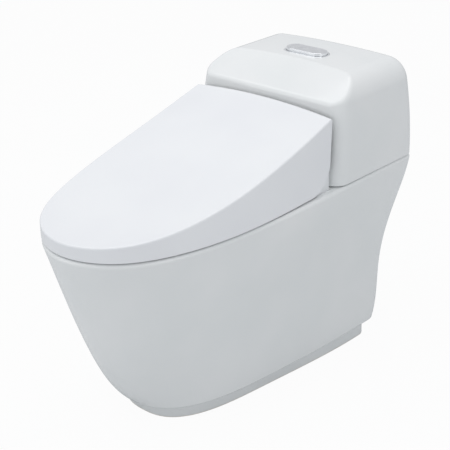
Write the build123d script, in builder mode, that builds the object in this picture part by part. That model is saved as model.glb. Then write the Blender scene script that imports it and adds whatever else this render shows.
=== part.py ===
from build123d import *
import os
from math import acos, atan2, cos, degrees, radians, sin, tan

os.makedirs("parts", exist_ok=True)

# One-piece toilet, in millimetres. +Z is up, the front of the bowl points to -Y and the tank is at +Y.
# The origin is on the floor, in the middle of the footprint that the rim covers.

# Outlines of the ceramic skirt from its foot to the rim.
# Each holds height, front tip, shoulder point, flank point, half width and rear.
skirt_levels = [
    (33, -246, (51, -236), (141, -20), 159, 295),
    (110, -296, (63, -266), (148, -40), 160, 311),
    (200, -328, (74, -296), (158, -60), 165.5, 317),
    (290, -355, (83, -318), (171, -90), 175, 347),
    (379, -377, (95, -339), (180, -110), 184.7, 377),
]
plinth_outline = (-221, (34.5, -217), (121, -17), 145, 282)
rear_corner = 26
rim_height = 379
wall = 12
foot_flange_top = 44
deck_underside = rim_height - wall
rim_edge_radius = 6
foot_edge_radius = 5

# Both ends of an outline curve pull equally, so that its halves mirror each other.
even_pull = [1, 1]

# Bowl: height, half width, half length and middle of each level.
bowl_middle = -160
bowl_mouth = (120, 165)
rim_lip = 8
rim_bottom = 349
channel_outer = (138, 179)
rim_wall_outer = (146, 187)
rim_wall_bottom = 337
bowl_levels = [
    (349, 133, 175, -160),
    (260, 112, 148, -139),
    (180, 75, 88, -117),
    (125, 45, 54, -102),
    (70, 32, 42, -100),
]
bowl_wall = 10
bowl_joint = 240

# Trapway and outlet, as points of their middle line (y, z).
outlet_y = 80
outlet_joint = 60
trap_points = [(-115, 98), (-20, 98), (15, 203), (outlet_y, 203), (outlet_y, outlet_joint)]
trap_bend = 36
trap_bore = 27
trap_outer = 35
outlet_bore = 35
outlet_outer = 43
outlet_bottom = 4
outlet_socket_top = 44
outlet_collar_top = 48

# Flush duct, from the valve seat to the back of the bowl (y, z).
valve_y = 266
well_underside = 288
duct_low = 256
duct_points = [(valve_y, well_underside), (valve_y, duct_low), (140, duct_low), (10, 303.5)]
duct_bend = 30
duct_bore = 22
duct_outer = 29
duct_joint = 36
seat_boss = 38
seat_counterbore = 28
counterbore_bottom = 274

# Tank well that holds the water, open at the top, with its corners cut off square.
well_half_width = 156
well_front = 160
well_rear = 332
well_top = 500
well_floor = 300
well_wall = 10
well_corner = 18

# Holes through the ceramic.
valve_bolt_x = 54
valve_bolt_hole = 4.5
fill_x = -105
fill_y = 250
fill_hole = 11.5
hinge_bolt_x = 77.5
hinge_bolt_y = 98
hinge_bolt_hole = 6.5
floor_screw_x = 117
floor_screw_y = 210
floor_screw_hole = 5.5
lug_size = (38, 40, 15)
service_half_width = 105
service_top = 235
service_front = 262


def save(piece, node):
    """Labels a finished piece and writes it as its own file."""
    piece.part.label = node
    export_step(piece.part, f"parts/{node}.step")


def tube(place, outer, height, inner=0):
    """A round post standing on a plane, or a ring or tube when it has an inner radius."""
    with BuildPart() as form:
        with BuildSketch(place):
            Circle(outer)
            if inner:
                Circle(inner, mode=Mode.SUBTRACT)
        extrude(amount=height)
    return form.part


def slot_block(place, length, width, height, hole_length=0, hole_width=0):
    """A block with round ends on the button's middle, or a slot-shaped ring."""
    with BuildPart() as form:
        with BuildSketch(place):
            SlotOverall(length, width)
            if hole_length:
                SlotOverall(hole_length, hole_width, mode=Mode.SUBTRACT)
        extrude(amount=height)
    return form.part


def hex_nut(place, across_flats, height, bore):
    """A hexagon nut standing on a plane."""
    with BuildPart() as form:
        with BuildSketch(place):
            RegularPolygon(across_flats / 2, 6, major_radius=False)
            Circle(bore, mode=Mode.SUBTRACT)
        extrude(amount=height)
    return form.part


def body_outline(height, tip, shoulder, flank, half_width, rear, inset=0):
    """Plan outline of the ceramic at one height: one curve round the front, and a square back."""
    arc_x = half_width - rear_corner
    arc_y = rear - rear_corner
    right = [
        (shoulder[0] - 0.7 * inset, shoulder[1] + 0.7 * inset),
        (flank[0] - inset, flank[1] + 0.15 * inset),
        (half_width - inset, arc_y),
    ]
    left = [(-x, y) for x, y in reversed(right)]
    with BuildSketch(Plane.XY.offset(height)) as outline:
        with BuildLine():
            Spline(*left, (0, tip + inset), *right, tangents=[(0, -1), (0, 1)], tangent_scalars=even_pull)
            CenterArc((arc_x, arc_y), rear_corner - inset, 0, 90)
            Line((arc_x, rear - inset), (-arc_x, rear - inset))
            CenterArc((-arc_x, arc_y), rear_corner - inset, 90, 90)
        make_face()
    return outline.sketch


def skirt(inset=0):
    """The skirt's form from foot to rim, or its inside when it is inset."""
    with BuildPart() as form:
        loft([body_outline(*level, inset=inset) for level in skirt_levels])
    return form.part


def oval(height, half_width, half_length, middle):
    """A horizontal ellipse on the centre plane."""
    with BuildSketch(Plane((0, middle, height))) as outline:
        Ellipse(half_width, half_length)
    return outline.sketch


def bowl_form(grow=0, drop=0):
    """The bowl's round form, or the outside of its shell when it is grown."""
    levels = [oval(z, a + grow, b + grow, middle) for z, a, b, middle in bowl_levels]
    lowest_z, a, b, middle = bowl_levels[-1]
    with BuildPart() as form:
        loft(levels)
        if drop:
            add(oval(lowest_z, a + grow, b + grow, middle))
            extrude(amount=-drop)
    return form.part


def pipe(points, bend, radius):
    """A round pipe along a bent line in the centre plane."""
    with BuildPart() as form:
        with BuildLine(Plane.YZ) as route:
            FilletPolyline(*points, radius=bend)
        with BuildSketch(Plane(origin=route.line @ 0, z_dir=route.line % 0)):
            Circle(radius)
        sweep(path=route.line)
    return form.part


def well_outline(height, inset=0):
    """Plan outline of the tank well: a rectangle with its corners cut off."""
    with BuildSketch(Plane((0, (well_front + well_rear) / 2, height))) as outline:
        Rectangle(2 * (well_half_width - inset), well_rear - well_front - 2 * inset)
        chamfer(outline.vertices(), well_corner - 0.59 * inset)
    return outline.sketch


# The ceramic is one fired piece. It is cast in the six parts that follow, joined on flat faces.
with BuildPart() as skirt_cavity:
    add(skirt(wall))
    split(bisect_by=Plane.XY.offset(foot_flange_top), keep=Keep.TOP)
    split(bisect_by=Plane.XY.offset(deck_underside), keep=Keep.BOTTOM)

# Skirt with its plinth and the deck that is the rim's top.
with BuildPart() as ceramic_skirt:
    add(skirt())
    fillet(ceramic_skirt.edges().group_by(Axis.Z)[-1], rim_edge_radius)
    fillet(ceramic_skirt.edges().group_by(Axis.Z)[0], foot_edge_radius)
    add(body_outline(0, *plinth_outline))
    extrude(amount=foot_flange_top)
    add(skirt_cavity.part, mode=Mode.SUBTRACT)
    add(body_outline(0, *plinth_outline, inset=wall))
    extrude(amount=foot_flange_top, mode=Mode.SUBTRACT)
    with BuildSketch(Plane.XY):
        with Locations((floor_screw_x, floor_screw_y), (-floor_screw_x, floor_screw_y)):
            Rectangle(lug_size[0], lug_size[1])
            Circle(floor_screw_hole, mode=Mode.SUBTRACT)
    extrude(amount=lug_size[2])
    # Rim lip, bowl mouth, the well's place, hinge bolt holes and the opening at the back.
    add(oval(rim_bottom, bowl_mouth[0] + rim_lip, bowl_mouth[1] + rim_lip, bowl_middle))
    extrude(amount=deck_underside - rim_bottom)
    add(oval(rim_bottom, *bowl_mouth, bowl_middle))
    extrude(amount=rim_height - rim_bottom, mode=Mode.SUBTRACT)
    add(well_outline(deck_underside))
    extrude(amount=wall, mode=Mode.SUBTRACT)
    with BuildSketch(Plane.XY.offset(deck_underside)):
        with Locations((hinge_bolt_x, hinge_bolt_y), (-hinge_bolt_x, hinge_bolt_y)):
            Circle(hinge_bolt_hole)
    extrude(amount=wall, mode=Mode.SUBTRACT)
    with BuildSketch(Plane.XZ.offset(-service_front)):
        Rectangle(2 * service_half_width, service_top, align=(Align.CENTER, Align.MIN))
    extrude(amount=-2 * service_half_width, mode=Mode.SUBTRACT)

save(ceramic_skirt, "ceramic_skirt")

# Bowl and trapway together, before they are parted.
with BuildPart() as waterway:
    add(pipe(duct_points, duct_bend, duct_outer))
    split(bisect_by=Plane.XZ.offset(-duct_joint), keep=Keep.TOP)
    add(oval(rim_wall_bottom, *rim_wall_outer, bowl_middle))
    extrude(amount=deck_underside - rim_wall_bottom)
    add(bowl_form(bowl_wall, bowl_wall))
    add(pipe(trap_points, trap_bend, trap_outer))
    # Hollows that the water uses.
    add(bowl_form(), mode=Mode.SUBTRACT)
    add(oval(rim_bottom, *channel_outer, bowl_middle))
    extrude(amount=deck_underside - rim_bottom, mode=Mode.SUBTRACT)
    add(pipe(trap_points, trap_bend, trap_bore), mode=Mode.SUBTRACT)
    add(pipe(duct_points, duct_bend, duct_bore), mode=Mode.SUBTRACT)

with BuildPart() as ceramic_bowl:
    add(waterway.part)
    split(bisect_by=Plane.XY.offset(bowl_joint), keep=Keep.TOP)

save(ceramic_bowl, "ceramic_bowl")

with BuildPart() as ceramic_trapway:
    add(waterway.part)
    split(bisect_by=Plane.XY.offset(bowl_joint), keep=Keep.BOTTOM)

save(ceramic_trapway, "ceramic_trapway")

outlet_place = Plane((0, outlet_y, outlet_bottom))
with BuildPart() as outlet_collar:
    add(tube(outlet_place, outlet_outer, outlet_collar_top - outlet_bottom))
    add(tube(outlet_place, trap_outer, outlet_joint - outlet_bottom))
    add(tube(outlet_place, trap_bore, outlet_joint - outlet_bottom), mode=Mode.SUBTRACT)
    add(tube(outlet_place, outlet_bore, outlet_socket_top - outlet_bottom), mode=Mode.SUBTRACT)

save(outlet_collar, "outlet_collar")

with BuildPart() as ceramic_duct:
    add(pipe(duct_points, duct_bend, duct_outer))
    split(bisect_by=Plane.XZ.offset(-duct_joint), keep=Keep.BOTTOM)
    add(tube(Plane((0, valve_y, duct_low)), seat_boss, well_underside - duct_low))
    add(pipe(duct_points, duct_bend, duct_bore), mode=Mode.SUBTRACT)
    counterbore_place = Plane((0, valve_y, counterbore_bottom))
    add(tube(counterbore_place, seat_counterbore, well_underside - counterbore_bottom), mode=Mode.SUBTRACT)

save(ceramic_duct, "ceramic_duct")

with BuildPart() as ceramic_tank:
    add(well_outline(well_underside))
    extrude(amount=well_top - well_underside)
    add(well_outline(well_floor, well_wall))
    extrude(amount=well_top - well_floor, mode=Mode.SUBTRACT)
    with BuildSketch(Plane.XY.offset(well_underside)):
        with Locations((valve_bolt_x, valve_y), (-valve_bolt_x, valve_y)):
            Circle(valve_bolt_hole)
        with Locations((fill_x, fill_y)):
            Circle(fill_hole)
        with Locations((0, valve_y)):
            Circle(seat_counterbore)
    extrude(amount=well_floor - well_underside, mode=Mode.SUBTRACT)

save(ceramic_tank, "ceramic_tank")

# Tank cover: a tapered box whose front edge is cut by a facet.
cover_bottom = 381.5
cover_wall = 8
cover_front = 130
cover_rear = 377
cover_corner = 30
front_draft = 7
rear_draft = 1.5
# Front view of the cover's side: foot, belly and shoulder (x, z).
cover_side = ((184.8, cover_bottom), (183.2, 470), (169, 571))
crown_top = 577
shoulder_radius = 48
crease_y = 148.5
crease_z = 533
facet_y = 217
facet_z = 574
facet_slope = degrees(atan2(facet_z - crease_z, facet_y - crease_y))
facet_edge_radius = 12
button_boss = (122, 60)
button_boss_z = 564
pocket_size = (102, 44)
pocket_z = 574.5
button_slot = (98, 40)
foot_x = 167
foot_y = (200, 325)
foot_size = (20, 24, 20)
foot_places = [(side * foot_x, y) for side in (-1, 1) for y in foot_y]


def front_view(inset=0):
    """The cover's outline seen from the front, with a low crown and round shoulders."""
    foot, belly, shoulder = [(x - inset, z) for x, z in cover_side]
    shoulder = (shoulder[0], shoulder[1] - inset)
    with BuildSketch(Plane.XZ) as view:
        with BuildLine():
            ThreePointArc(foot, belly, shoulder)
            ThreePointArc(shoulder, (0, crown_top - inset), (-shoulder[0], shoulder[1]))
            ThreePointArc((-shoulder[0], shoulder[1]), (-belly[0], belly[1]), (-foot[0], foot[1]))
            Line((-foot[0], foot[1]), foot)
        make_face()
        fillet(view.vertices().group_by(Axis.Y)[-1], shoulder_radius - inset)
    return view.sketch


def leaning_plane(y, way, draft, height=cover_bottom):
    """A plane across the object that leans back over it by its draft; way is -1 at the front and 1 behind."""
    return Plane((0, y, height), z_dir=(0, way * cos(radians(draft)), sin(radians(draft))))


def cover_form(inset=0):
    """The tank cover as a full form, or the form of its inside when it is inset."""
    with BuildPart() as form:
        add(front_view(inset))
        extrude(amount=2 * cover_rear, dir=(0, 1, 0))
        split(bisect_by=leaning_plane(cover_front + inset, -1, front_draft), keep=Keep.BOTTOM)
        split(bisect_by=leaning_plane(cover_rear - inset, 1, rear_draft), keep=Keep.BOTTOM)
        for end in (form.faces().sort_by(Axis.Y)[0], form.faces().sort_by(Axis.Y)[-1]):
            above_foot = end.edges().filter_by(lambda edge: edge.center().Z > cover_bottom + 1)
            fillet(above_foot, cover_corner - inset)
        facet_plane = Plane((0, crease_y, crease_z - inset)).rotated((facet_slope, 0, 0))
        split(bisect_by=facet_plane, keep=Keep.BOTTOM)
        if not inset:
            facet = form.faces().sort_by(lambda face: face.normal_at().dot(facet_plane.z_dir))[-1]
            fillet(facet.edges(), facet_edge_radius)
    return form.part


with BuildPart() as tank_cover:
    add(cover_form())
    add(cover_form(cover_wall), mode=Mode.SUBTRACT)
    add(slot_block(Plane((0, valve_y, button_boss_z)), *button_boss, pocket_z - button_boss_z))
    add(slot_block(Plane((0, valve_y, pocket_z)), *pocket_size, cover_wall), mode=Mode.SUBTRACT)
    add(
        slot_block(Plane((0, valve_y, button_boss_z)), *button_slot, pocket_z - button_boss_z),
        mode=Mode.SUBTRACT,
    )
    with BuildSketch(Plane.XY.offset(cover_bottom)):
        with Locations(foot_places):
            Rectangle(foot_size[0], foot_size[1])
    extrude(amount=foot_size[2])

save(tank_cover, "tank_cover")

# Rubber pads between the tank cover and the ceramic.
pad_gap = 0.15
pad_size = (14, 20, 3)
with BuildPart() as cover_pads:
    with BuildSketch(Plane.XY.offset(rim_height + pad_gap)):
        with Locations(foot_places):
            RectangleRounded(*pad_size)
    extrude(amount=cover_bottom - rim_height - 2 * pad_gap)

save(cover_pads, "cover_pads")

# Flush button, its housing in the tank cover, its springs and its rod.
bezel_size = (101, 43)
bezel_bottom = 574.6
bezel_top = 576.8
bezel_edge_radius = 1
sleeve_size = (97, 39)
sleeve_bottom = 556
housing_floor = 558
housing_bore = (94, 36)
retainer_size = (112, 54)
retainer_hole = (97.6, 39.6)
retainer_z = (559, 563.8)
cap_size = (93, 35)
cap_z = (569, 583)
cap_wall = 2.5
cap_edge_radius = 1.5
rod_x = 40
rod_radius = 3
rod_bottom = 450
rod_top = 577
rod_hole = 3.4
rod_boss = 5
spring_x = (-20, 15)
spring_radius = 5
spring_wire = 0.7
spring_turns = 5
fixed_fit = 0.02
running_fit = 0.05

with BuildPart() as button_housing:
    add(slot_block(Plane((0, valve_y, bezel_bottom)), *bezel_size, bezel_top - bezel_bottom))
    fillet(button_housing.edges().group_by(Axis.Z)[-1], bezel_edge_radius)
    add(slot_block(Plane((0, valve_y, sleeve_bottom)), *sleeve_size, bezel_bottom - sleeve_bottom))
    add(
        slot_block(Plane((0, valve_y, housing_floor)), *housing_bore, bezel_top - housing_floor),
        mode=Mode.SUBTRACT,
    )
    add(
        tube(Plane((rod_x, valve_y, sleeve_bottom)), rod_hole, housing_floor - sleeve_bottom),
        mode=Mode.SUBTRACT,
    )

save(button_housing, "button_housing")

with BuildPart() as button_retainer:
    retainer_place = Plane((0, valve_y, retainer_z[0]))
    add(slot_block(retainer_place, *retainer_size, retainer_z[1] - retainer_z[0], *retainer_hole))

save(button_retainer, "button_retainer")

with BuildPart() as flush_button:
    add(slot_block(Plane((0, valve_y, cap_z[0])), *cap_size, cap_z[1] - cap_z[0]))
    fillet(flush_button.edges().group_by(Axis.Z)[-1], cap_edge_radius)
    inner_size = (cap_size[0] - 2 * cap_wall, cap_size[1] - 2 * cap_wall)
    add(
        slot_block(Plane((0, valve_y, cap_z[0])), *inner_size, cap_z[1] - cap_z[0] - cap_wall),
        mode=Mode.SUBTRACT,
    )
    add(tube(Plane((rod_x, valve_y, cap_z[0])), rod_boss, cap_z[1] - cap_z[0] - cap_wall))
    add(
        tube(Plane((rod_x, valve_y, cap_z[0])), rod_radius + fixed_fit, rod_top - cap_z[0]),
        mode=Mode.SUBTRACT,
    )

save(flush_button, "flush_button")

with BuildPart() as push_rod:
    add(tube(Plane((rod_x, valve_y, rod_bottom + rod_radius)), rod_radius, rod_top - rod_bottom - rod_radius))
    with Locations((rod_x, valve_y, rod_bottom + rod_radius)):
        Sphere(rod_radius)

save(push_rod, "push_rod")

# The wire's section is an octagon.
spring_gap = 0.1
spring_bottom = housing_floor + spring_wire + spring_gap
spring_top = cap_z[1] - cap_wall - spring_wire - spring_gap
with BuildPart() as button_springs:
    for x in spring_x:
        with BuildLine(Plane((x, valve_y, spring_bottom))) as coil:
            Helix((spring_top - spring_bottom) / spring_turns, spring_top - spring_bottom, spring_radius)
        with BuildSketch(Plane(origin=coil.line @ 0, z_dir=coil.line % 0)):
            RegularPolygon(spring_wire, 8)
        sweep(path=coil.line)

save(button_springs, "button_springs")

# Seat lid: a hollow shell, low at the front and rising to the tank, open below and behind.
lid_bottom = 382
lid_wall = 4
lid_foot = (-373.3, (92, -339), (159.4, -223.3), (180.7, 4.2), (173.2, 145))
lid_crest = (-376, (89, -337), (142, -219), (168.3, 4.2), (167, 145))
lid_crest_z = 530
lid_rear_lean = (-0.06, 1)
# Height of the lid's side edge and rise of its middle above it, from front to rear.
lid_ridge = [
    (-395, 405.5, 0.5),
    (-258, 418.2, 2.7),
    (-95, 449.5, 5.5),
    (5, 475, 7.7),
    (145, 516.6, 9.9),
]
ridge_half_width = 178
lid_round_y = 65
lid_round_z = 442
lid_round = lid_round_z - lid_bottom
lid_rear_top = (138, 538)
lid_edge_radius = 3.5
lid_axis_y = 108
lid_axis_z = 499.5
lid_lug_x = (92, 104)
lid_lug_radius = 7
lid_pin_radius = 3.5
lid_pin_x = (76, 103.5)
lid_lug_reach = (101, 507.2, 115, 511.4)
bumper_spots = [(0, -336), (-70, -318), (70, -318)]
bumper_radius = 6
bumper_boss = 8
bumper_boss_height = 3.5
bumper_edge_radius = 1.5
bumper_top = 404.5


def lid_outline(height, tip, *points, inset=0):
    """Plan outline of the lid: one curve round the front, cut straight at the back."""
    shoulder, corner, flank, end = points
    right = [
        (shoulder[0] - 0.7 * inset, shoulder[1] + 0.7 * inset),
        (corner[0] - 0.9 * inset, corner[1] + 0.4 * inset),
        (flank[0] - inset, flank[1]),
        (end[0] - inset, end[1]),
    ]
    left = [(-x, y) for x, y in reversed(right)]
    lean_x, lean_y = lid_rear_lean
    with BuildSketch(Plane.XY.offset(height)) as outline:
        with BuildLine():
            ends = [(lean_x, -lean_y), (lean_x, lean_y)]
            Spline(*left, (0, tip + inset), *right, tangents=ends, tangent_scalars=even_pull)
            Line(right[-1], left[0])
        make_face()
    return outline.sketch


def lid_section(y, ridge_z, rise, inset=0):
    """Section across the lid at one place along it, crowned on top."""
    top = ridge_z - 1.08 * inset
    half_width = ridge_half_width
    with BuildSketch(Plane.XZ.offset(-y)) as section:
        with BuildLine():
            ThreePointArc((-half_width, top), (0, top + rise), (half_width, top))
            Polyline(
                (half_width, top),
                (half_width + 15, top - 4),
                (half_width + 15, lid_bottom - 10),
                (-half_width - 15, lid_bottom - 10),
                (-half_width - 15, top - 4),
                (-half_width, top),
            )
        make_face()
    return section.sketch


def lid_form(inset=0):
    """The lid's full form, or the form of its inside when it is inset."""
    with BuildPart() as form:
        foot = lid_outline(lid_bottom, *lid_foot, inset=inset)
        crest = lid_outline(lid_crest_z, *lid_crest, inset=inset)
        loft([foot, crest])
        with BuildPart(mode=Mode.INTERSECT):
            loft([lid_section(*row, inset=inset) for row in lid_ridge])
    return form.part


def lid_lug(side):
    """A lug that hangs from the lid's skin and turns on a hinge pin."""
    near_y, near_z, far_y, far_z = lid_lug_reach
    inner, outer = lid_lug_x
    place = Plane.YZ.offset(inner if side > 0 else -outer)
    with BuildPart() as lug:
        with BuildSketch(place):
            with Locations((lid_axis_y, lid_axis_z)):
                Circle(lid_lug_radius)
            with BuildLine():
                foot_line = [(near_y, lid_axis_z), (far_y, lid_axis_z)]
                Polyline(*foot_line, (far_y, far_z), (near_y, near_z), close=True)
            make_face()
            with Locations((lid_axis_y, lid_axis_z)):
                Circle(lid_pin_radius + running_fit, mode=Mode.SUBTRACT)
        extrude(amount=outer - inner)
    return lug.part


with BuildPart() as seat_lid:
    add(lid_form())
    with BuildSketch(Plane.YZ):
        with BuildLine():
            arc_end = (lid_round_y + lid_round, lid_round_z)
            Line((lid_ridge[0][0] - 10, lid_bottom - 1), (lid_round_y, lid_bottom - 1))
            Line((lid_round_y, lid_bottom - 1), (lid_round_y, lid_bottom))
            RadiusArc((lid_round_y, lid_bottom), arc_end, -lid_round)
            Line(arc_end, lid_rear_top)
            Line(lid_rear_top, (lid_ridge[0][0] - 10, lid_rear_top[1]))
            Line((lid_ridge[0][0] - 10, lid_rear_top[1]), (lid_ridge[0][0] - 10, lid_bottom - 1))
        make_face()
    extrude(amount=2 * ridge_half_width, both=True, mode=Mode.INTERSECT)
    skin = seat_lid.faces().sort_by(SortBy.AREA)[-1]
    fillet(skin.edges(), lid_edge_radius)
    add(lid_form(lid_wall), mode=Mode.SUBTRACT)
    for side in (1, -1):
        add(lid_lug(side))
    with BuildSketch(Plane.XY.offset(bumper_top)):
        with Locations(bumper_spots):
            Circle(bumper_boss)
    extrude(amount=bumper_boss_height)

save(seat_lid, "seat_lid")

# Rubber buffers under the front of the lid, which rest on the seat.
rest_gap = 0.3
seat_top = 399
with BuildPart() as lid_bumpers:
    with BuildSketch(Plane.XY.offset(seat_top + rest_gap)):
        with Locations(bumper_spots):
            Circle(bumper_radius)
    extrude(amount=bumper_top - seat_top - 1.5 * rest_gap)
    fillet(lid_bumpers.edges().group_by(Axis.Z)[0], bumper_edge_radius)

save(lid_bumpers, "lid_bumpers")

# Seat ring: rounded all over, with two ears behind it.
seat_bottom = 384
seat_tip = -366
seat_outline = ((83, -331), (147, -215), (164.5, 0))
seat_corner = 40
seat_rear = 50
seat_opening = (108, 145)
seat_opening_y = -155
seat_outer_radius = 6
seat_inner_radius = 5
seat_under_radius = 2
seat_axis_y = 64
seat_axis_z = 396
seat_ear_x = (136, 152)
seat_ear_radius = 8
seat_ear_front = 34
seat_pin_radius = 5
seat_pin_x = (117, 151.5)


def seat_ear(side):
    """An ear of the seat ring that turns on a hinge pin."""
    inner, outer = seat_ear_x
    place = Plane.YZ.offset(inner if side > 0 else -outer)
    with BuildPart() as ear:
        with BuildSketch(place):
            with Locations((seat_axis_y, seat_axis_z)):
                Circle(seat_ear_radius)
            with BuildLine():
                Polyline(
                    (seat_ear_front, seat_bottom + 3),
                    (seat_axis_y - seat_ear_radius, seat_bottom + 3),
                    (seat_axis_y, seat_axis_z - seat_ear_radius),
                    (seat_axis_y, seat_axis_z + seat_ear_radius),
                    (seat_ear_front, seat_top - 1),
                    close=True,
                )
            make_face()
            with Locations((seat_axis_y, seat_axis_z)):
                Circle(seat_pin_radius + running_fit, mode=Mode.SUBTRACT)
        extrude(amount=outer - inner)
    return ear.part


with BuildPart() as seat_ring:
    with BuildSketch(Plane.XY.offset(seat_bottom)):
        with BuildLine():
            left_points = [(-x, y) for x, y in reversed(seat_outline)]
            end_x, end_y = seat_outline[-1]
            Spline(
                *left_points,
                (0, seat_tip),
                *seat_outline,
                tangents=[(0, -1), (0, 1)],
                tangent_scalars=even_pull,
            )
            Line((end_x, end_y), (end_x, seat_rear - seat_corner))
            CenterArc((end_x - seat_corner, seat_rear - seat_corner), seat_corner, 0, 90)
            Line((end_x - seat_corner, seat_rear), (seat_corner - end_x, seat_rear))
            CenterArc((seat_corner - end_x, seat_rear - seat_corner), seat_corner, 90, 90)
            Line((-end_x, seat_rear - seat_corner), (-end_x, end_y))
        make_face()
    extrude(amount=seat_top - seat_bottom)
    fillet(seat_ring.edges().group_by(Axis.Z)[-1], seat_outer_radius)
    fillet(seat_ring.edges().group_by(Axis.Z)[0], seat_under_radius)
    with BuildSketch(Plane((0, seat_opening_y, seat_bottom))):
        Ellipse(*seat_opening)
    extrude(amount=seat_top - seat_bottom, mode=Mode.SUBTRACT)
    fillet(seat_ring.edges().filter_by(GeomType.ELLIPSE).group_by(Axis.Z)[-1], seat_inner_radius)
    for side in (1, -1):
        add(seat_ear(side))

save(seat_ring, "seat_ring")

seat_bumper_spots = [(0, -337), (0, 26), (-137, -150), (137, -150)]
seat_bumper_size = (16, 12, 4)
with BuildPart() as seat_bumpers:
    with BuildSketch(Plane.XY.offset(rim_height + rest_gap)):
        with Locations(seat_bumper_spots):
            RectangleRounded(*seat_bumper_size)
    extrude(amount=seat_bottom - rim_height - rest_gap)

save(seat_bumpers, "seat_bumpers")


def cross_pins(x_range, y, z, radius):
    """A pair of pins across the object, one on each side."""
    inner, outer = x_range
    with BuildPart() as pair:
        with BuildSketch(Plane.YZ.offset(inner)):
            with Locations((y, z)):
                Circle(radius)
        extrude(amount=outer - inner)
        mirror(about=Plane.YZ)
    return pair


seat_pins = cross_pins(seat_pin_x, seat_axis_y, seat_axis_z, seat_pin_radius)
save(seat_pins, "seat_pins")
lid_pins = cross_pins(lid_pin_x, lid_axis_y, lid_axis_z, lid_pin_radius)
save(lid_pins, "lid_pins")

# Hinge housing: a low base across the ceramic, two seat knuckles and a tower for the lid's pins.
housing_bottom = rim_height + rest_gap
base_half_width = 171
base_front = 86
base_rear = 121
lid_clearance = 1.5
plate_half_width = 134
plate_front = 53
plate_top = 386
knuckle_x = (118, 134.5)
knuckle_radius = 8.7
tower_half_width = 90
tower_front_z = 440
tower_neck = 7.2
tower_rear_z = (440, 456)
housing_wall = 3
hinge_bolt_radius = 4
bolt_boss = 8
hollow_top = 480
hollow_front_y = 99
bolt_boss_top = 412
hinge_bolt_top = 405


# Direction of extrusions across the object.
across = (1, 0, 0)


def around(middle, radius, angle):
    """The point at an angle on a circle."""
    return (middle[0] + radius * cos(radians(angle)), middle[1] + radius * sin(radians(angle)))


def wedge_profile(inset=0):
    """Side profile of the base, hollowed to follow the lid's round lower corner."""
    front = base_front + inset
    rear = base_rear - inset
    reach = lid_round + lid_clearance + inset
    middle = (lid_round_y, lid_round_z)
    front_angle = -degrees(acos((front - lid_round_y) / reach))
    rear_angle = -degrees(acos((rear - lid_round_y) / reach))
    angles = (front_angle, (front_angle + rear_angle) / 2, rear_angle)
    hollow = [around(middle, reach, angle) for angle in angles]
    with BuildSketch(Plane.YZ) as profile:
        with BuildLine():
            ThreePointArc(*hollow)
            Polyline(hollow[2], (rear, housing_bottom), (front, housing_bottom), hollow[0])
        make_face()
    return profile.sketch


with BuildSketch(Plane.YZ) as tower_profile:
    with BuildLine():
        head = [around((lid_axis_y, lid_axis_z), tower_neck, angle) for angle in (0, 90, 180)]
        ThreePointArc(*head)
        Polyline(
            head[2],
            (base_front, tower_front_z),
            (base_front, housing_bottom),
            (base_rear, housing_bottom),
            (base_rear, tower_rear_z[0]),
            (head[0][0], tower_rear_z[1]),
            head[0],
        )
    make_face()

with BuildSketch(Plane.YZ) as tower_hollow:
    with BuildLine():
        Polyline(
            (base_front + housing_wall, housing_bottom),
            (base_front + housing_wall, tower_front_z),
            (hollow_front_y, hollow_top),
            (head[0][0] - housing_wall, hollow_top),
            (head[0][0] - housing_wall, tower_rear_z[1]),
            (base_rear - housing_wall, tower_rear_z[0]),
            (base_rear - housing_wall, housing_bottom),
            close=True,
        )
    make_face()

with BuildPart() as hinge_housing:
    add(wedge_profile())
    extrude(amount=base_half_width, dir=across, both=True)
    add(tower_profile.sketch)
    extrude(amount=tower_half_width, dir=across, both=True)
    # Hollow inside, open to the ceramic below.
    add(wedge_profile(housing_wall))
    extrude(amount=base_half_width - housing_wall, dir=across, both=True, mode=Mode.SUBTRACT)
    add(tower_hollow.sketch)
    extrude(amount=tower_half_width - housing_wall, dir=across, both=True, mode=Mode.SUBTRACT)
    # Bosses for the hinge bolts, each on a rib across the tower.
    for side in (1, -1):
        with BuildSketch(Plane.YZ.offset(side * hinge_bolt_x - housing_wall / 2)):
            add(tower_hollow.sketch_local)
        extrude(amount=housing_wall)
        boss_place = Plane((side * hinge_bolt_x, hinge_bolt_y, housing_bottom))
        add(tube(boss_place, bolt_boss, bolt_boss_top - housing_bottom))
    # Plate and knuckles for the seat.
    with BuildSketch(Plane.XY.offset(housing_bottom)):
        with Locations((0, (plate_front + base_front + housing_wall) / 2)):
            Rectangle(2 * plate_half_width, base_front + housing_wall - plate_front)
    extrude(amount=plate_top - housing_bottom)
    for side in (1, -1):
        with BuildSketch(Plane.YZ.offset(knuckle_x[0] if side > 0 else -knuckle_x[1])):
            with Locations((seat_axis_y, seat_axis_z)):
                Circle(knuckle_radius)
            with Locations((seat_axis_y, (seat_axis_z + housing_bottom) / 2)):
                Rectangle(2 * knuckle_radius, seat_axis_z - housing_bottom)
        extrude(amount=knuckle_x[1] - knuckle_x[0])
    for pins in (seat_pins, lid_pins):
        add(pins.part, mode=Mode.SUBTRACT)
    for side in (1, -1):
        bolt_place = Plane((side * hinge_bolt_x, hinge_bolt_y, housing_bottom))
        add(tube(bolt_place, hinge_bolt_radius, hinge_bolt_top - housing_bottom), mode=Mode.SUBTRACT)

save(hinge_housing, "hinge_housing")

# Hinge bolts through the ceramic, with washers and nuts below it.
washer_height = 3
washer_bore_fit = 0.4
bolt_end_chamfer = 1
hinge_bolt_bottom = 345
hinge_washer_radius = 12
hinge_nut_height = 12
hinge_nut_flats = 16
hinge_places = [(side * hinge_bolt_x, hinge_bolt_y) for side in (1, -1)]

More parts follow.
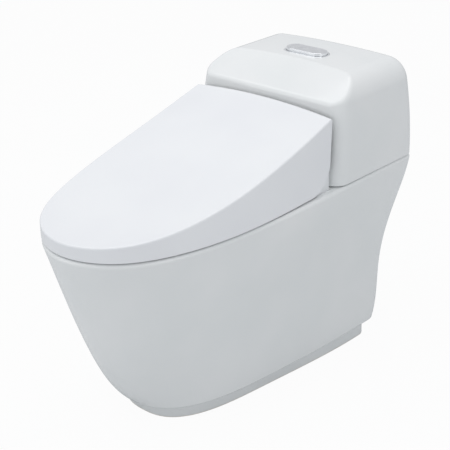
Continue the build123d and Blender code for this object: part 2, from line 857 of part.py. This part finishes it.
with BuildPart() as hinge_bolts:
    with BuildSketch(Plane.XY.offset(hinge_bolt_bottom)):
        with Locations(hinge_places):
            Circle(hinge_bolt_radius - fixed_fit)
    extrude(amount=hinge_bolt_top - hinge_bolt_bottom)
    chamfer(hinge_bolts.edges().group_by(Axis.Z)[0], bolt_end_chamfer)

save(hinge_bolts, "hinge_bolts")

hinge_washer_bottom = deck_underside - washer_height
with BuildPart() as hinge_washers:
    for x, y in hinge_places:
        washer_place = Plane((x, y, hinge_washer_bottom))
        washer_bore = hinge_bolt_radius + washer_bore_fit
        add(tube(washer_place, hinge_washer_radius, washer_height, washer_bore))

save(hinge_washers, "hinge_washers")

with BuildPart() as hinge_nuts:
    for x, y in hinge_places:
        nut_place = Plane((x, y, hinge_washer_bottom - hinge_nut_height))
        add(hex_nut(nut_place, hinge_nut_flats, hinge_nut_height, hinge_bolt_radius))

save(hinge_nuts, "hinge_nuts")

# Flush valve body: flange, tail, cage, guide and the posts that carry the lever's pin.
gasket_height = 3
flange_bottom = well_floor + gasket_height
flange_height = 3
valve_flange = 42
valve_ear = 10
tail_radius = 26
tail_bore = 23
tail_bottom = 275
cage_outer = 33
cage_inner = 30
cage_top = 340
cage_window = (20, 18.2)
cage_window_z = (308, 334)
cage_windows = 6
cage_cap = 5
stem_radius = 13
stem_bore = 10
stem_fit = 0.4
guide_outer = 19
guide_z = (425, 432)
guide_reach = 6
post_x = (18, 30)
post_y = (21, 27)
post_top = 452
lever_pin_x = 24
lever_pin_z = 445
lever_pin_radius = 2.5
clip_post_x = -24
clip_post_size = (8, 8)
clip_post_top = 478


def upright(x, y, z):
    """A plane that faces the front, with its middle at a point."""
    return Plane((x, y, z), x_dir=(1, 0, 0), z_dir=(0, -1, 0))


lever_pin_plane = upright(lever_pin_x, valve_y, lever_pin_z)


def valve_place(z):
    """A level plane on the flush valve's axis."""
    return Plane((0, valve_y, z))


with BuildPart() as flush_valve_body:
    flange_top = flange_bottom + flange_height
    add(tube(valve_place(flange_bottom), valve_flange, flange_height))
    with BuildSketch(valve_place(flange_bottom)):
        with Locations((valve_bolt_x, 0), (-valve_bolt_x, 0)):
            Circle(valve_ear)
        Rectangle(2 * valve_bolt_x, 1.5 * valve_ear)
    extrude(amount=flange_height)
    add(tube(valve_place(tail_bottom), tail_radius, flange_top - tail_bottom))
    add(tube(valve_place(flange_top), cage_outer, cage_top - flange_top, cage_inner))
    with BuildSketch(valve_place(cage_window_z[0])):
        with PolarLocations(cage_outer, cage_windows, start_angle=30):
            Rectangle(*cage_window)
    extrude(amount=cage_window_z[1] - cage_window_z[0], mode=Mode.SUBTRACT)
    add(tube(valve_place(cage_top), cage_outer, cage_cap))
    add(tube(valve_place(guide_z[0]), guide_outer, guide_z[1] - guide_z[0]))
    post_middle_x = (post_x[0] + post_x[1]) / 2
    post_middle_y = (post_y[0] + post_y[1]) / 2
    with BuildSketch(valve_place(cage_top)):
        with Locations((post_middle_x, post_middle_y), (post_middle_x, -post_middle_y)):
            Rectangle(post_x[1] - post_x[0], post_y[1] - post_y[0])
    extrude(amount=post_top - cage_top)
    with BuildSketch(valve_place(cage_top)):
        with Locations((clip_post_x, 0)):
            Rectangle(*clip_post_size)
    extrude(amount=clip_post_top - cage_top)
    with BuildSketch(valve_place(guide_z[0])):
        with Locations((post_middle_x - guide_reach, 0)):
            Rectangle(post_x[1] - post_x[0], 2 * post_y[1])
        with Locations((clip_post_x + guide_reach, 0)):
            Rectangle(clip_post_size[0] + 2 * guide_reach, clip_post_size[1])
    extrude(amount=guide_z[1] - guide_z[0])
    add(tube(valve_place(tail_bottom), tail_bore, flange_top - tail_bottom), mode=Mode.SUBTRACT)
    add(tube(valve_place(cage_top), stem_radius + stem_fit, post_top - cage_top), mode=Mode.SUBTRACT)
    with BuildSketch(valve_place(flange_bottom)):
        with Locations((valve_bolt_x, 0), (-valve_bolt_x, 0)):
            Circle(valve_bolt_hole)
    extrude(amount=flange_height, mode=Mode.SUBTRACT)
    with BuildSketch(lever_pin_plane):
        Circle(lever_pin_radius + fixed_fit)
    extrude(amount=post_y[1], both=True, mode=Mode.SUBTRACT)

save(flush_valve_body, "flush_valve_body")

gasket_radius = 40
gasket_fit = 1
with BuildPart() as valve_gasket:
    add(tube(valve_place(well_floor), gasket_radius, gasket_height, tail_radius + gasket_fit))

save(valve_gasket, "valve_gasket")

# Bolts that hold the flush valve to the well's floor.
valve_bolt_radius = 4
valve_bolt_head = 7.5
valve_bolt_head_height = 5
bolt_head_edge = 1.5
valve_bolt_bottom = 262
valve_washer_radius = 10
valve_nut_flats = 13
valve_nut_height = 7
valve_bolt_places = [(valve_bolt_x, valve_y), (-valve_bolt_x, valve_y)]

with BuildPart() as valve_bolts:
    for x, y in valve_bolt_places:
        shaft_place = Plane((x, y, valve_bolt_bottom))
        add(tube(shaft_place, valve_bolt_radius - fixed_fit, flange_top - valve_bolt_bottom))
        add(tube(Plane((x, y, flange_top)), valve_bolt_head, valve_bolt_head_height))
    fillet(valve_bolts.edges().group_by(Axis.Z)[-1], bolt_head_edge)

save(valve_bolts, "valve_bolts")

valve_washer_bottom = well_underside - washer_height
with BuildPart() as valve_washers:
    for x, y in valve_bolt_places:
        add(tube(Plane((x, y, valve_washer_bottom)), valve_washer_radius, washer_height, valve_bolt_hole))

save(valve_washers, "valve_washers")

with BuildPart() as valve_nuts:
    for x, y in valve_bolt_places:
        nut_place = Plane((x, y, valve_washer_bottom - valve_nut_height))
        add(hex_nut(nut_place, valve_nut_flats, valve_nut_height, valve_bolt_radius))

save(valve_nuts, "valve_nuts")

# Overflow tube that lifts the seal, with two lugs that the lever raises.
stem_bottom = 300
stem_top = 466
stem_flange = 26
seal_bottom = flange_top + rest_gap
seal_top = 309
seal_radius = 27
lug_z = 452
stem_lug_radius = 3
stem_lug_y = 20

with BuildPart() as valve_stem:
    add(tube(valve_place(stem_bottom), stem_radius, stem_top - stem_bottom))
    add(tube(valve_place(seal_top), stem_flange, flange_height))
    with BuildSketch(upright(0, valve_y, lug_z)):
        Circle(stem_lug_radius)
    extrude(amount=stem_lug_y, both=True)
    add(tube(valve_place(stem_bottom), stem_bore, stem_top - stem_bottom), mode=Mode.SUBTRACT)

save(valve_stem, "valve_stem")

with BuildPart() as flush_seal:
    add(tube(valve_place(seal_bottom), seal_radius, seal_top - seal_bottom, stem_radius + fixed_fit))

save(flush_seal, "flush_seal")

# Lever between the push rod and the overflow tube: a fork on one side, a pad on the other.
fork_y = (15.5, 19.5)
fork_tip_x = -4
fork_bottom = 441
fork_top = 448.6
hub_radius = 5
lever_half_width = 20.5
pad_x = 46
pad_top = 449.6
pad_half_width = 6

with BuildPart() as lift_lever:
    with BuildSketch(lever_pin_plane):
        Circle(hub_radius)
    extrude(amount=lever_half_width, both=True)
    fork_middle_x = (fork_tip_x + lever_pin_x) / 2
    fork_middle_y = (fork_y[0] + fork_y[1]) / 2
    with BuildSketch(valve_place(fork_bottom)):
        with Locations((fork_middle_x, fork_middle_y), (fork_middle_x, -fork_middle_y)):
            Rectangle(lever_pin_x - fork_tip_x, fork_y[1] - fork_y[0])
    extrude(amount=fork_top - fork_bottom)
    with BuildSketch(valve_place(fork_bottom)):
        with Locations(((lever_pin_x + pad_x) / 2, 0)):
            Rectangle(pad_x - lever_pin_x, 2 * pad_half_width)
    extrude(amount=pad_top - fork_bottom)
    with BuildSketch(lever_pin_plane):
        Circle(lever_pin_radius + running_fit)
    extrude(amount=lever_half_width, both=True, mode=Mode.SUBTRACT)

save(lift_lever, "lift_lever")

with BuildPart() as lever_pin:
    with BuildSketch(lever_pin_plane):
        Circle(lever_pin_radius)
    extrude(amount=post_y[1], both=True)

save(lever_pin, "lever_pin")

# Fill valve with its float, lever and refill tube.
shank_radius = 10.4
shank_end_radius = 9.9
shank_end_top = 268
shank_bottom = 245
shank_bore = (6, 40)
fill_flange = 20
fill_flange_height = 5
riser_radius = 9
head_radius = 14
head_z = (440, 468)
head_edge_radius = 2
ear_root = 6
refill_port_z = 454
refill_port_radius = 3
float_pivot_x = -117
float_pivot_z = 479
ear_half_x = 5
ear_y = (3.6, 7)
ear_top = 484
float_pin_radius = 1.5


def fill_place(z):
    """A level plane on the fill valve's axis."""
    return Plane((fill_x, fill_y, z))


float_pin_plane = upright(float_pivot_x, fill_y, float_pivot_z)

with BuildPart() as fill_valve_body:
    add(tube(fill_place(shank_end_top), shank_radius, flange_bottom - shank_end_top))
    add(tube(fill_place(shank_bottom), shank_end_radius, shank_end_top - shank_bottom))
    add(tube(fill_place(flange_bottom), fill_flange, fill_flange_height))
    add(tube(fill_place(flange_bottom), riser_radius, head_z[0] - flange_bottom))
    add(tube(fill_place(head_z[0]), head_radius, head_z[1] - head_z[0]))
    fillet(fill_valve_body.edges().group_by(Axis.Z)[-1], head_edge_radius)
    chamfer(fill_valve_body.edges().group_by(Axis.Z)[0], bolt_end_chamfer)
    with BuildSketch(Plane((float_pivot_x, fill_y, head_z[1] - ear_root))):
        with Locations((0, (ear_y[0] + ear_y[1]) / 2), (0, -(ear_y[0] + ear_y[1]) / 2)):
            Rectangle(2 * ear_half_x, ear_y[1] - ear_y[0])
    extrude(amount=ear_top - head_z[1] + ear_root)
    add(tube(fill_place(shank_bottom), *shank_bore), mode=Mode.SUBTRACT)
    with BuildSketch(float_pin_plane):
        Circle(float_pin_radius + fixed_fit)
    extrude(amount=ear_y[1], both=True, mode=Mode.SUBTRACT)
    # Port that the refill tube is pushed on.
    with BuildSketch(upright(fill_x, fill_y, refill_port_z)):
        Circle(refill_port_radius)
    extrude(amount=-head_radius - refill_port_radius)

save(fill_valve_body, "fill_valve_body")

with BuildPart() as fill_valve_gasket:
    add(tube(fill_place(well_floor), fill_flange - gasket_fit, gasket_height, shank_radius + gasket_fit))

save(fill_valve_gasket, "fill_valve_gasket")

fill_nut_height = 18
fill_nut_flats = 32
with BuildPart() as fill_valve_nut:
    nut_place = fill_place(well_underside - fill_nut_height)
    add(hex_nut(nut_place, fill_nut_flats, fill_nut_height, shank_radius + fixed_fit))

save(fill_valve_nut, "fill_valve_nut")

cup_z = (380, 428)
cup_radius = 30
cup_wall = 2
cup_bore = 9.4
cup_edge_radius = 3
link_x = 26
link_radius = 2
link_top = 475.6
link_foot = (4, 3)

with BuildPart() as float_cup:
    add(tube(fill_place(cup_z[0]), cup_radius, cup_z[1] - cup_z[0]))
    fillet(float_cup.edges().group_by(Axis.Z)[-1], cup_edge_radius)
    air_space = tube(
        fill_place(cup_z[0]),
        cup_radius - cup_wall,
        cup_z[1] - cup_z[0] - cup_wall,
        cup_bore + cup_wall,
    )
    add(air_space, mode=Mode.SUBTRACT)
    add(tube(fill_place(cup_z[0]), cup_bore, cup_z[1] - cup_z[0]), mode=Mode.SUBTRACT)

save(float_cup, "float_cup")

with BuildPart() as float_link:
    link_place = Plane((fill_x + link_x, fill_y, cup_z[1]))
    add(tube(link_place, link_radius, link_top - link_radius - cup_z[1]))
    with Locations((fill_x + link_x, fill_y, link_top - link_radius)):
        Sphere(link_radius)
    add(tube(link_place, *link_foot))

save(float_link, "float_link")

lever_half_y = 3
float_hub_radius = 4
float_lever_z = (476, 481.5)
float_lever_end = -75
with BuildPart() as float_lever:
    with BuildSketch(float_pin_plane):
        Circle(float_hub_radius)
    extrude(amount=lever_half_y, both=True)
    with BuildSketch(Plane.XY.offset(float_lever_z[0])):
        with Locations(((float_pivot_x + float_lever_end) / 2, fill_y)):
            Rectangle(float_lever_end - float_pivot_x, 2 * lever_half_y)
    extrude(amount=float_lever_z[1] - float_lever_z[0])
    with BuildSketch(float_pin_plane):
        Circle(float_pin_radius + running_fit)
    extrude(amount=lever_half_y, both=True, mode=Mode.SUBTRACT)

save(float_lever, "float_lever")

with BuildPart() as float_lever_pin:
    with BuildSketch(float_pin_plane):
        Circle(float_pin_radius)
    extrude(amount=ear_y[1], both=True)

save(float_lever_pin, "float_lever_pin")

# Refill tube: from the fill valve's port, over the clip and down into the overflow tube.
refill_back_y = 284
refill_high_z = 491
refill_end_z = 478.5
refill_route = [
    (fill_x, fill_y + head_radius + rest_gap, refill_port_z),
    (fill_x, refill_back_y, refill_port_z),
    (-68, refill_back_y, refill_high_z),
    (-44, valve_y, refill_high_z),
    (0, valve_y, refill_high_z),
    (0, valve_y, refill_end_z),
]
refill_bend = 9
refill_radius = 4.5
refill_bore = 3.1

with BuildPart() as refill_tube:
    with BuildLine() as route:
        FilletPolyline(*refill_route, radius=refill_bend)
    with BuildSketch(Plane(origin=route.line @ 0, z_dir=route.line % 0)):
        Circle(refill_radius)
        Circle(refill_bore, mode=Mode.SUBTRACT)
    sweep(path=route.line)

save(refill_tube, "refill_tube")

clip_wall = 2
clip_width = 7
with BuildPart() as tube_clip:
    with BuildSketch(Plane((clip_post_x, valve_y, refill_high_z), x_dir=(0, 1, 0), z_dir=(1, 0, 0))):
        Circle(refill_radius + clip_wall)
        with Locations((0, (clip_post_top - refill_high_z) / 2)):
            Rectangle(clip_width, refill_high_z - clip_post_top)
        Circle(refill_radius + fixed_fit, mode=Mode.SUBTRACT)
    extrude(amount=clip_width / 2, both=True)

save(tube_clip, "tube_clip")

# Rubber ring on the floor round the outlet.
outlet_gasket_radius = 60
outlet_gasket_height = 12
outlet_gasket_edge = 3
with BuildPart() as outlet_gasket:
    outlet_ring = (outlet_gasket_radius, outlet_gasket_height, outlet_outer + gasket_fit)
    add(tube(Plane((0, outlet_y, 0)), *outlet_ring))
    fillet(outlet_gasket.edges().group_by(Axis.Z)[-1], outlet_gasket_edge)

save(outlet_gasket, "outlet_gasket")
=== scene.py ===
import math

import bpy
from mathutils import Matrix, Vector

# One-piece toilet, in metres. +Z is up, the front of the bowl points to -Y and the tank is at +Y.
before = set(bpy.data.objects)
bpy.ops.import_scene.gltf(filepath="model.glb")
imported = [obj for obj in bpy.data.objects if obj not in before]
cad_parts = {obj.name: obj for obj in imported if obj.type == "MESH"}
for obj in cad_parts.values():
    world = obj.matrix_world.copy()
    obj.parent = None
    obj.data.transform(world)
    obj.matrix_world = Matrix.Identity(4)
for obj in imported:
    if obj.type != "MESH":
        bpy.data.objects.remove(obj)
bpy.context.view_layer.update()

MM = 0.001

# Noise is used between these two of its values, where most of it lies.
NOISE_LOW = 0.3
NOISE_HIGH = 0.7

# Usual refractive index of each material.
GLAZE_IOR = 1.52
GLAZE_COAT_IOR = 1.5
GLOSS_PLASTIC_IOR = 1.49
MATT_PLASTIC_IOR = 1.53
RUBBER_IOR = 1.5


# Shader helpers.
def srgb(code, alpha=1.0):
    """A colour written as a hex code, as the linear values that shaders take."""
    channels = [int(code[i:i + 2], 16) / 255 for i in (0, 2, 4)]
    return [c / 12.92 if c <= 0.04045 else ((c + 0.055) / 1.055) ** 2.4 for c in channels] + [alpha]


def add_node(tree, kind, inputs=None, **settings):
    """Adds one node, sets its options and its inputs, and links the inputs that are given as outputs."""
    made = tree.nodes.new(kind)
    for key, value in settings.items():
        setattr(made, key, value)
    for key, value in (inputs or {}).items():
        if isinstance(value, bpy.types.NodeSocket):
            tree.links.new(value, made.inputs[key])
        else:
            made.inputs[key].default_value = value
    return made


def new_material(name):
    """An empty node material and its tree."""
    material = bpy.data.materials.new(name)
    material.use_nodes = True
    material.node_tree.nodes.clear()
    return material, material.node_tree


def place_noise(tree, scale, detail=2.0, roughness=0.5):
    """Noise laid out on the object's own coordinates. Its scale is in features per metre."""
    place = add_node(tree, "ShaderNodeTexCoord")
    noise = add_node(
        tree,
        "ShaderNodeTexNoise",
        {"Vector": place.outputs["Object"], "Scale": scale, "Detail": detail, "Roughness": roughness},
    )
    return noise.outputs["Fac"]


def two_tone(tree, factor, first, second, low=0.35, high=0.65):
    """A colour that drifts between two tones."""
    ramp = add_node(tree, "ShaderNodeValToRGB", {"Fac": factor})
    ramp.color_ramp.elements[0].position = low
    ramp.color_ramp.elements[1].position = high
    ramp.color_ramp.elements[0].color = srgb(first)
    ramp.color_ramp.elements[1].color = srgb(second)
    return ramp.outputs["Color"]


def ranged(tree, value, low, high, result_low, result_high):
    """A value carried from one range to another."""
    spread = {"Value": value, "From Min": low, "From Max": high, "To Min": result_low, "To Max": result_high}
    return add_node(tree, "ShaderNodeMapRange", spread).outputs["Result"]


def relief(tree, height, strength, depth, **under):
    """A fine relief of a depth in metres, over another one where that is given."""
    bump = add_node(
        tree,
        "ShaderNodeBump",
        {"Height": height, "Strength": strength, "Distance": depth, **under},
    )
    return bump.outputs["Normal"]


def finish_surface(tree, **inputs):
    """The surface shader and the output. An underscore in an input's name stands for a space."""
    named = {key.replace("_", " "): value for key, value in inputs.items()}
    shader = add_node(tree, "ShaderNodeBsdfPrincipled", named)
    add_node(tree, "ShaderNodeOutputMaterial", {"Surface": shader.outputs["BSDF"]})


# Glazed vitreous china: white glaze with a faint wave, and a bare foot where it stands on the floor.
def glazed_china():
    bare_below = 0.6 * MM
    glazed_above = 1.4 * MM
    bare_roughness = 0.8
    glaze_roughness = 0.1
    material, tree = new_material("glazed_china")
    glaze = two_tone(tree, place_noise(tree, 7.0), "EEF1F1", "F2F4F4")
    grog = two_tone(tree, place_noise(tree, 420.0, 6.0), "CFC7B8", "DDD6C9")
    place = add_node(tree, "ShaderNodeTexCoord")
    height = add_node(tree, "ShaderNodeSeparateXYZ", {"Vector": place.outputs["Object"]}).outputs["Z"]
    glazed = ranged(tree, height, bare_below, glazed_above, 0.0, 1.0)
    colour = add_node(tree, "ShaderNodeMix", {0: glazed, 6: grog, 7: glaze}, data_type="RGBA")
    finish_surface(
        tree,
        Base_Color=colour.outputs[2],
        Roughness=ranged(tree, glazed, 0.0, 1.0, bare_roughness, glaze_roughness),
        IOR=GLAZE_IOR,
        Normal=relief(tree, place_noise(tree, 26.0, 1.0), 0.06, 0.6 * MM),
        Coat_Weight=0.35,
        Coat_Roughness=0.03,
        Coat_IOR=GLAZE_COAT_IOR,
    )
    return material


# Gloss plastic of the lid, seat and hinge housing: a cool white with a very fine moulded grain.
def gloss_plastic(name, dark, light, roughness):
    material, tree = new_material(name)
    colour = two_tone(tree, place_noise(tree, 5.0), dark, light)
    grain = place_noise(tree, 1400.0, 3.0)
    flow = place_noise(tree, 12.0, 1.0)
    fine = relief(tree, grain, 0.04, 0.03 * MM)
    finish_surface(
        tree,
        Base_Color=colour,
        Roughness=ranged(tree, grain, NOISE_LOW, NOISE_HIGH, roughness - 0.02, roughness + 0.03),
        IOR=GLOSS_PLASTIC_IOR,
        Normal=relief(tree, flow, 0.05, 0.4 * MM, Normal=fine),
        Coat_Weight=0.15,
        Coat_Roughness=0.12,
    )
    return material


# Moulded valve plastic: a matt body with the fine pebbling of an unpolished mould.
def valve_plastic(name, dark, light):
    material, tree = new_material(name)
    pebble = place_noise(tree, 900.0, 4.0)
    finish_surface(
        tree,
        Base_Color=two_tone(tree, place_noise(tree, 30.0, 3.0), dark, light),
        Roughness=ranged(tree, pebble, NOISE_LOW, NOISE_HIGH, 0.38, 0.52),
        IOR=MATT_PLASTIC_IOR,
        Normal=relief(tree, pebble, 0.25, 0.08 * MM),
    )
    return material


# Soft rubber: matt, slightly powdery, with fine mould grain.
def soft_rubber(name, dark, light):
    material, tree = new_material(name)
    powder = place_noise(tree, 260.0, 6.0, 0.7)
    finish_surface(
        tree,
        Base_Color=two_tone(tree, powder, dark, light),
        Roughness=ranged(tree, powder, NOISE_LOW, NOISE_HIGH, 0.62, 0.82),
        IOR=RUBBER_IOR,
        Normal=relief(tree, powder, 0.3, 0.1 * MM),
    )
    return material


# Metals: a turned or plated surface with fine level lines, whose brightness drifts a little.
def bare_metal(name, dark, light, roughness, line_strength):
    lines_per_metre = (40.0, 40.0, 2600.0)
    material, tree = new_material(name)
    place = add_node(tree, "ShaderNodeTexCoord")
    stretched = add_node(
        tree,
        "ShaderNodeMapping",
        {"Vector": place.outputs["Object"], "Scale": lines_per_metre},
    )
    lines = add_node(
        tree,
        "ShaderNodeTexNoise",
        {"Vector": stretched.outputs["Vector"], "Scale": 1.0, "Detail": 4.0},
    ).outputs["Fac"]
    finish_surface(
        tree,
        Base_Color=two_tone(tree, place_noise(tree, 90.0, 4.0), dark, light),
        Metallic=1.0,
        Roughness=ranged(tree, lines, NOISE_LOW, NOISE_HIGH, roughness, roughness + 0.1),
        Normal=relief(tree, lines, line_strength, 0.02 * MM),
    )
    return material


china = glazed_china()
seat_white = gloss_plastic("seat_plastic", "F1F3F6", "F5F7F9", 0.2)
housing_white = gloss_plastic("housing_plastic", "E9ECEE", "EFF1F3", 0.32)
tube_milky = gloss_plastic("tube_plastic", "DDE3E4", "E8ECEC", 0.3)
button_chrome = bare_metal("button_chrome", "E9EBEE", "F4F6F8", 0.12, 0.02)
pin_steel = bare_metal("pin_steel", "B9BCBF", "CDD0D2", 0.24, 0.25)
spring_steel = bare_metal("spring_steel", "8E9296", "A9ADB1", 0.3, 0.15)
bolt_brass = bare_metal("bolt_brass", "B58E4B", "CFAF6B", 0.26, 0.25)
valve_white = valve_plastic("valve_plastic", "D9DDDD", "E5E8E7")
valve_grey = valve_plastic("nut_plastic", "A9AFB2", "B9BEC0")
float_blue = valve_plastic("float_plastic", "8FB4C8", "A3C4D5")
bumper_rubber = soft_rubber("bumper_rubber", "C4C8CA", "D4D8DA")
gasket_rubber = soft_rubber("gasket_rubber", "2A2C2E", "3A3D3F")
seal_rubber = soft_rubber("seal_rubber", "A8322C", "BC463D")

finishes = {
    china: (
        "ceramic_skirt",
        "ceramic_bowl",
        "ceramic_trapway",
        "outlet_collar",
        "ceramic_duct",
        "ceramic_tank",
        "tank_cover",
    ),
    seat_white: ("seat_lid", "seat_ring"),
    housing_white: ("hinge_housing",),
    tube_milky: ("refill_tube",),
    button_chrome: ("flush_button", "button_housing"),
    pin_steel: (
        "seat_pins",
        "lid_pins",
        "hinge_bolts",
        "hinge_washers",
        "hinge_nuts",
        "lever_pin",
        "float_lever_pin",
    ),
    spring_steel: ("button_springs", "push_rod"),
    bolt_brass: ("valve_bolts", "valve_nuts", "valve_washers"),
    valve_white: (
        "flush_valve_body",
        "fill_valve_body",
        "lift_lever",
        "valve_stem",
        "float_lever",
        "button_retainer",
        "tube_clip",
        "float_link",
    ),
    valve_grey: ("fill_valve_nut",),
    float_blue: ("float_cup",),
    bumper_rubber: ("lid_bumpers", "seat_bumpers", "cover_pads"),
    gasket_rubber: ("valve_gasket", "fill_valve_gasket", "outlet_gasket"),
    seal_rubber: ("flush_seal",),
}
for material, names in finishes.items():
    for name in names:
        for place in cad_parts[name].material_slots:
            place.material = material


# Floor, lamps and world.
def white_floor():
    """A pale floor that the camera sees almost white, so that it keeps only a faint shadow."""
    camera_glow = 0.95
    reach = 14.0
    below_feet = 0.5 * MM
    material, tree = new_material("studio_floor")
    colour = two_tone(tree, place_noise(tree, 3.0), "DADCDD", "DEE0E1")
    matt = add_node(tree, "ShaderNodeBsdfDiffuse", {"Color": colour})
    glow = add_node(tree, "ShaderNodeEmission", {"Strength": 1.0})
    path = add_node(tree, "ShaderNodeLightPath")
    seen = add_node(
        tree,
        "ShaderNodeMath",
        {0: path.outputs["Is Camera Ray"], 1: camera_glow},
        operation="MULTIPLY",
    )
    shown = add_node(
        tree,
        "ShaderNodeMixShader",
        {0: seen.outputs[0], 1: matt.outputs["BSDF"], 2: glow.outputs["Emission"]},
    )
    add_node(tree, "ShaderNodeOutputMaterial", {"Surface": shown.outputs["Shader"]})
    mesh = bpy.data.meshes.new("studio_floor")
    corners = [(-reach, -reach, 0), (reach, -reach, 0), (reach, reach, 0), (-reach, reach, 0)]
    mesh.from_pydata(corners, [], [(0, 1, 2, 3)])
    mesh.materials.append(material)
    floor = bpy.data.objects.new("studio_floor", mesh)
    floor.location.z = -below_feet
    bpy.context.scene.collection.objects.link(floor)


def soft_box(name, place, target, size, power):
    """A square soft lamp at a place, turned to a target. Its power is in watts."""
    lamp = bpy.data.lights.new(name, "AREA")
    lamp.shape = "SQUARE"
    lamp.size = size
    lamp.energy = power
    lamp_object = bpy.data.objects.new(name, lamp)
    away = Vector(place) - Vector(target)
    lamp_object.rotation_euler = away.to_track_quat("Z", "Y").to_euler()
    lamp_object.location = place
    bpy.context.scene.collection.objects.link(lamp_object)


def studio_world(ambient):
    """White for the camera, and a plain soft light for everything else."""
    world = bpy.data.worlds.new("studio_world")
    bpy.context.scene.world = world
    world.use_nodes = True
    tree = world.node_tree
    tree.nodes.clear()
    path = add_node(tree, "ShaderNodeLightPath")
    seen_through = add_node(
        tree,
        "ShaderNodeMath",
        {0: path.outputs["Is Camera Ray"], 1: path.outputs["Is Transmission Ray"]},
        operation="MAXIMUM",
    )
    plain = add_node(tree, "ShaderNodeBackground", {"Color": srgb("FBFCFF"), "Strength": ambient})
    bright = add_node(tree, "ShaderNodeBackground", {"Color": srgb("FFFFFF"), "Strength": 1.0})
    both = add_node(
        tree,
        "ShaderNodeMixShader",
        {0: seen_through.outputs[0], 1: plain.outputs["Background"], 2: bright.outputs["Background"]},
    )
    add_node(tree, "ShaderNodeOutputWorld", {"Surface": both.outputs["Shader"]})


def photo_camera():
    """The camera at the photograph's viewing angle."""
    azimuth, elevation, roll = math.radians(44.3), math.radians(25.0), math.radians(-2.2)
    distance = 2.167
    photo_width_pixels = 450
    focal_pixels = 1123.3
    sensor_width = 36.0
    body_middle = Vector((0, 27.58 * MM, 246.25 * MM))
    shift_right = -5.22 * MM
    shift_up = 41.17 * MM
    right = Vector((math.cos(azimuth), math.sin(azimuth), 0))
    forward = Vector((
        -math.sin(azimuth) * math.cos(elevation),
        math.cos(azimuth) * math.cos(elevation),
        -math.sin(elevation),
    ))
    up = right.cross(forward)
    aim = body_middle + shift_right * right + shift_up * up
    turned_right = math.cos(roll) * right + math.sin(roll) * up
    turned_up = -math.sin(roll) * right + math.cos(roll) * up
    lens = bpy.data.cameras.new("photo_camera")
    lens.sensor_width = sensor_width
    lens.lens = focal_pixels * sensor_width / photo_width_pixels
    camera = bpy.data.objects.new("photo_camera", lens)
    turn = Matrix((turned_right, turned_up, -forward)).transposed().to_4x4()
    camera.matrix_world = Matrix.Translation(aim - distance * forward) @ turn
    bpy.context.scene.collection.objects.link(camera)
    bpy.context.scene.camera = camera


upper_aim = (0, 0, 0.3)
lower_aim = (0, 0, 0.2)
white_floor()
studio_world(0.66)
soft_box("top_lamp", (-0.3, -0.3, 2.6), upper_aim, 2.4, 19)
soft_box("front_lamp", (-1.4, -2.6, 1.2), lower_aim, 1.6, 6)
soft_box("side_lamp", (2.6, -0.6, 1.4), upper_aim, 1.4, 3)
photo_camera()
bpy.context.scene.view_settings.view_transform = "Standard"
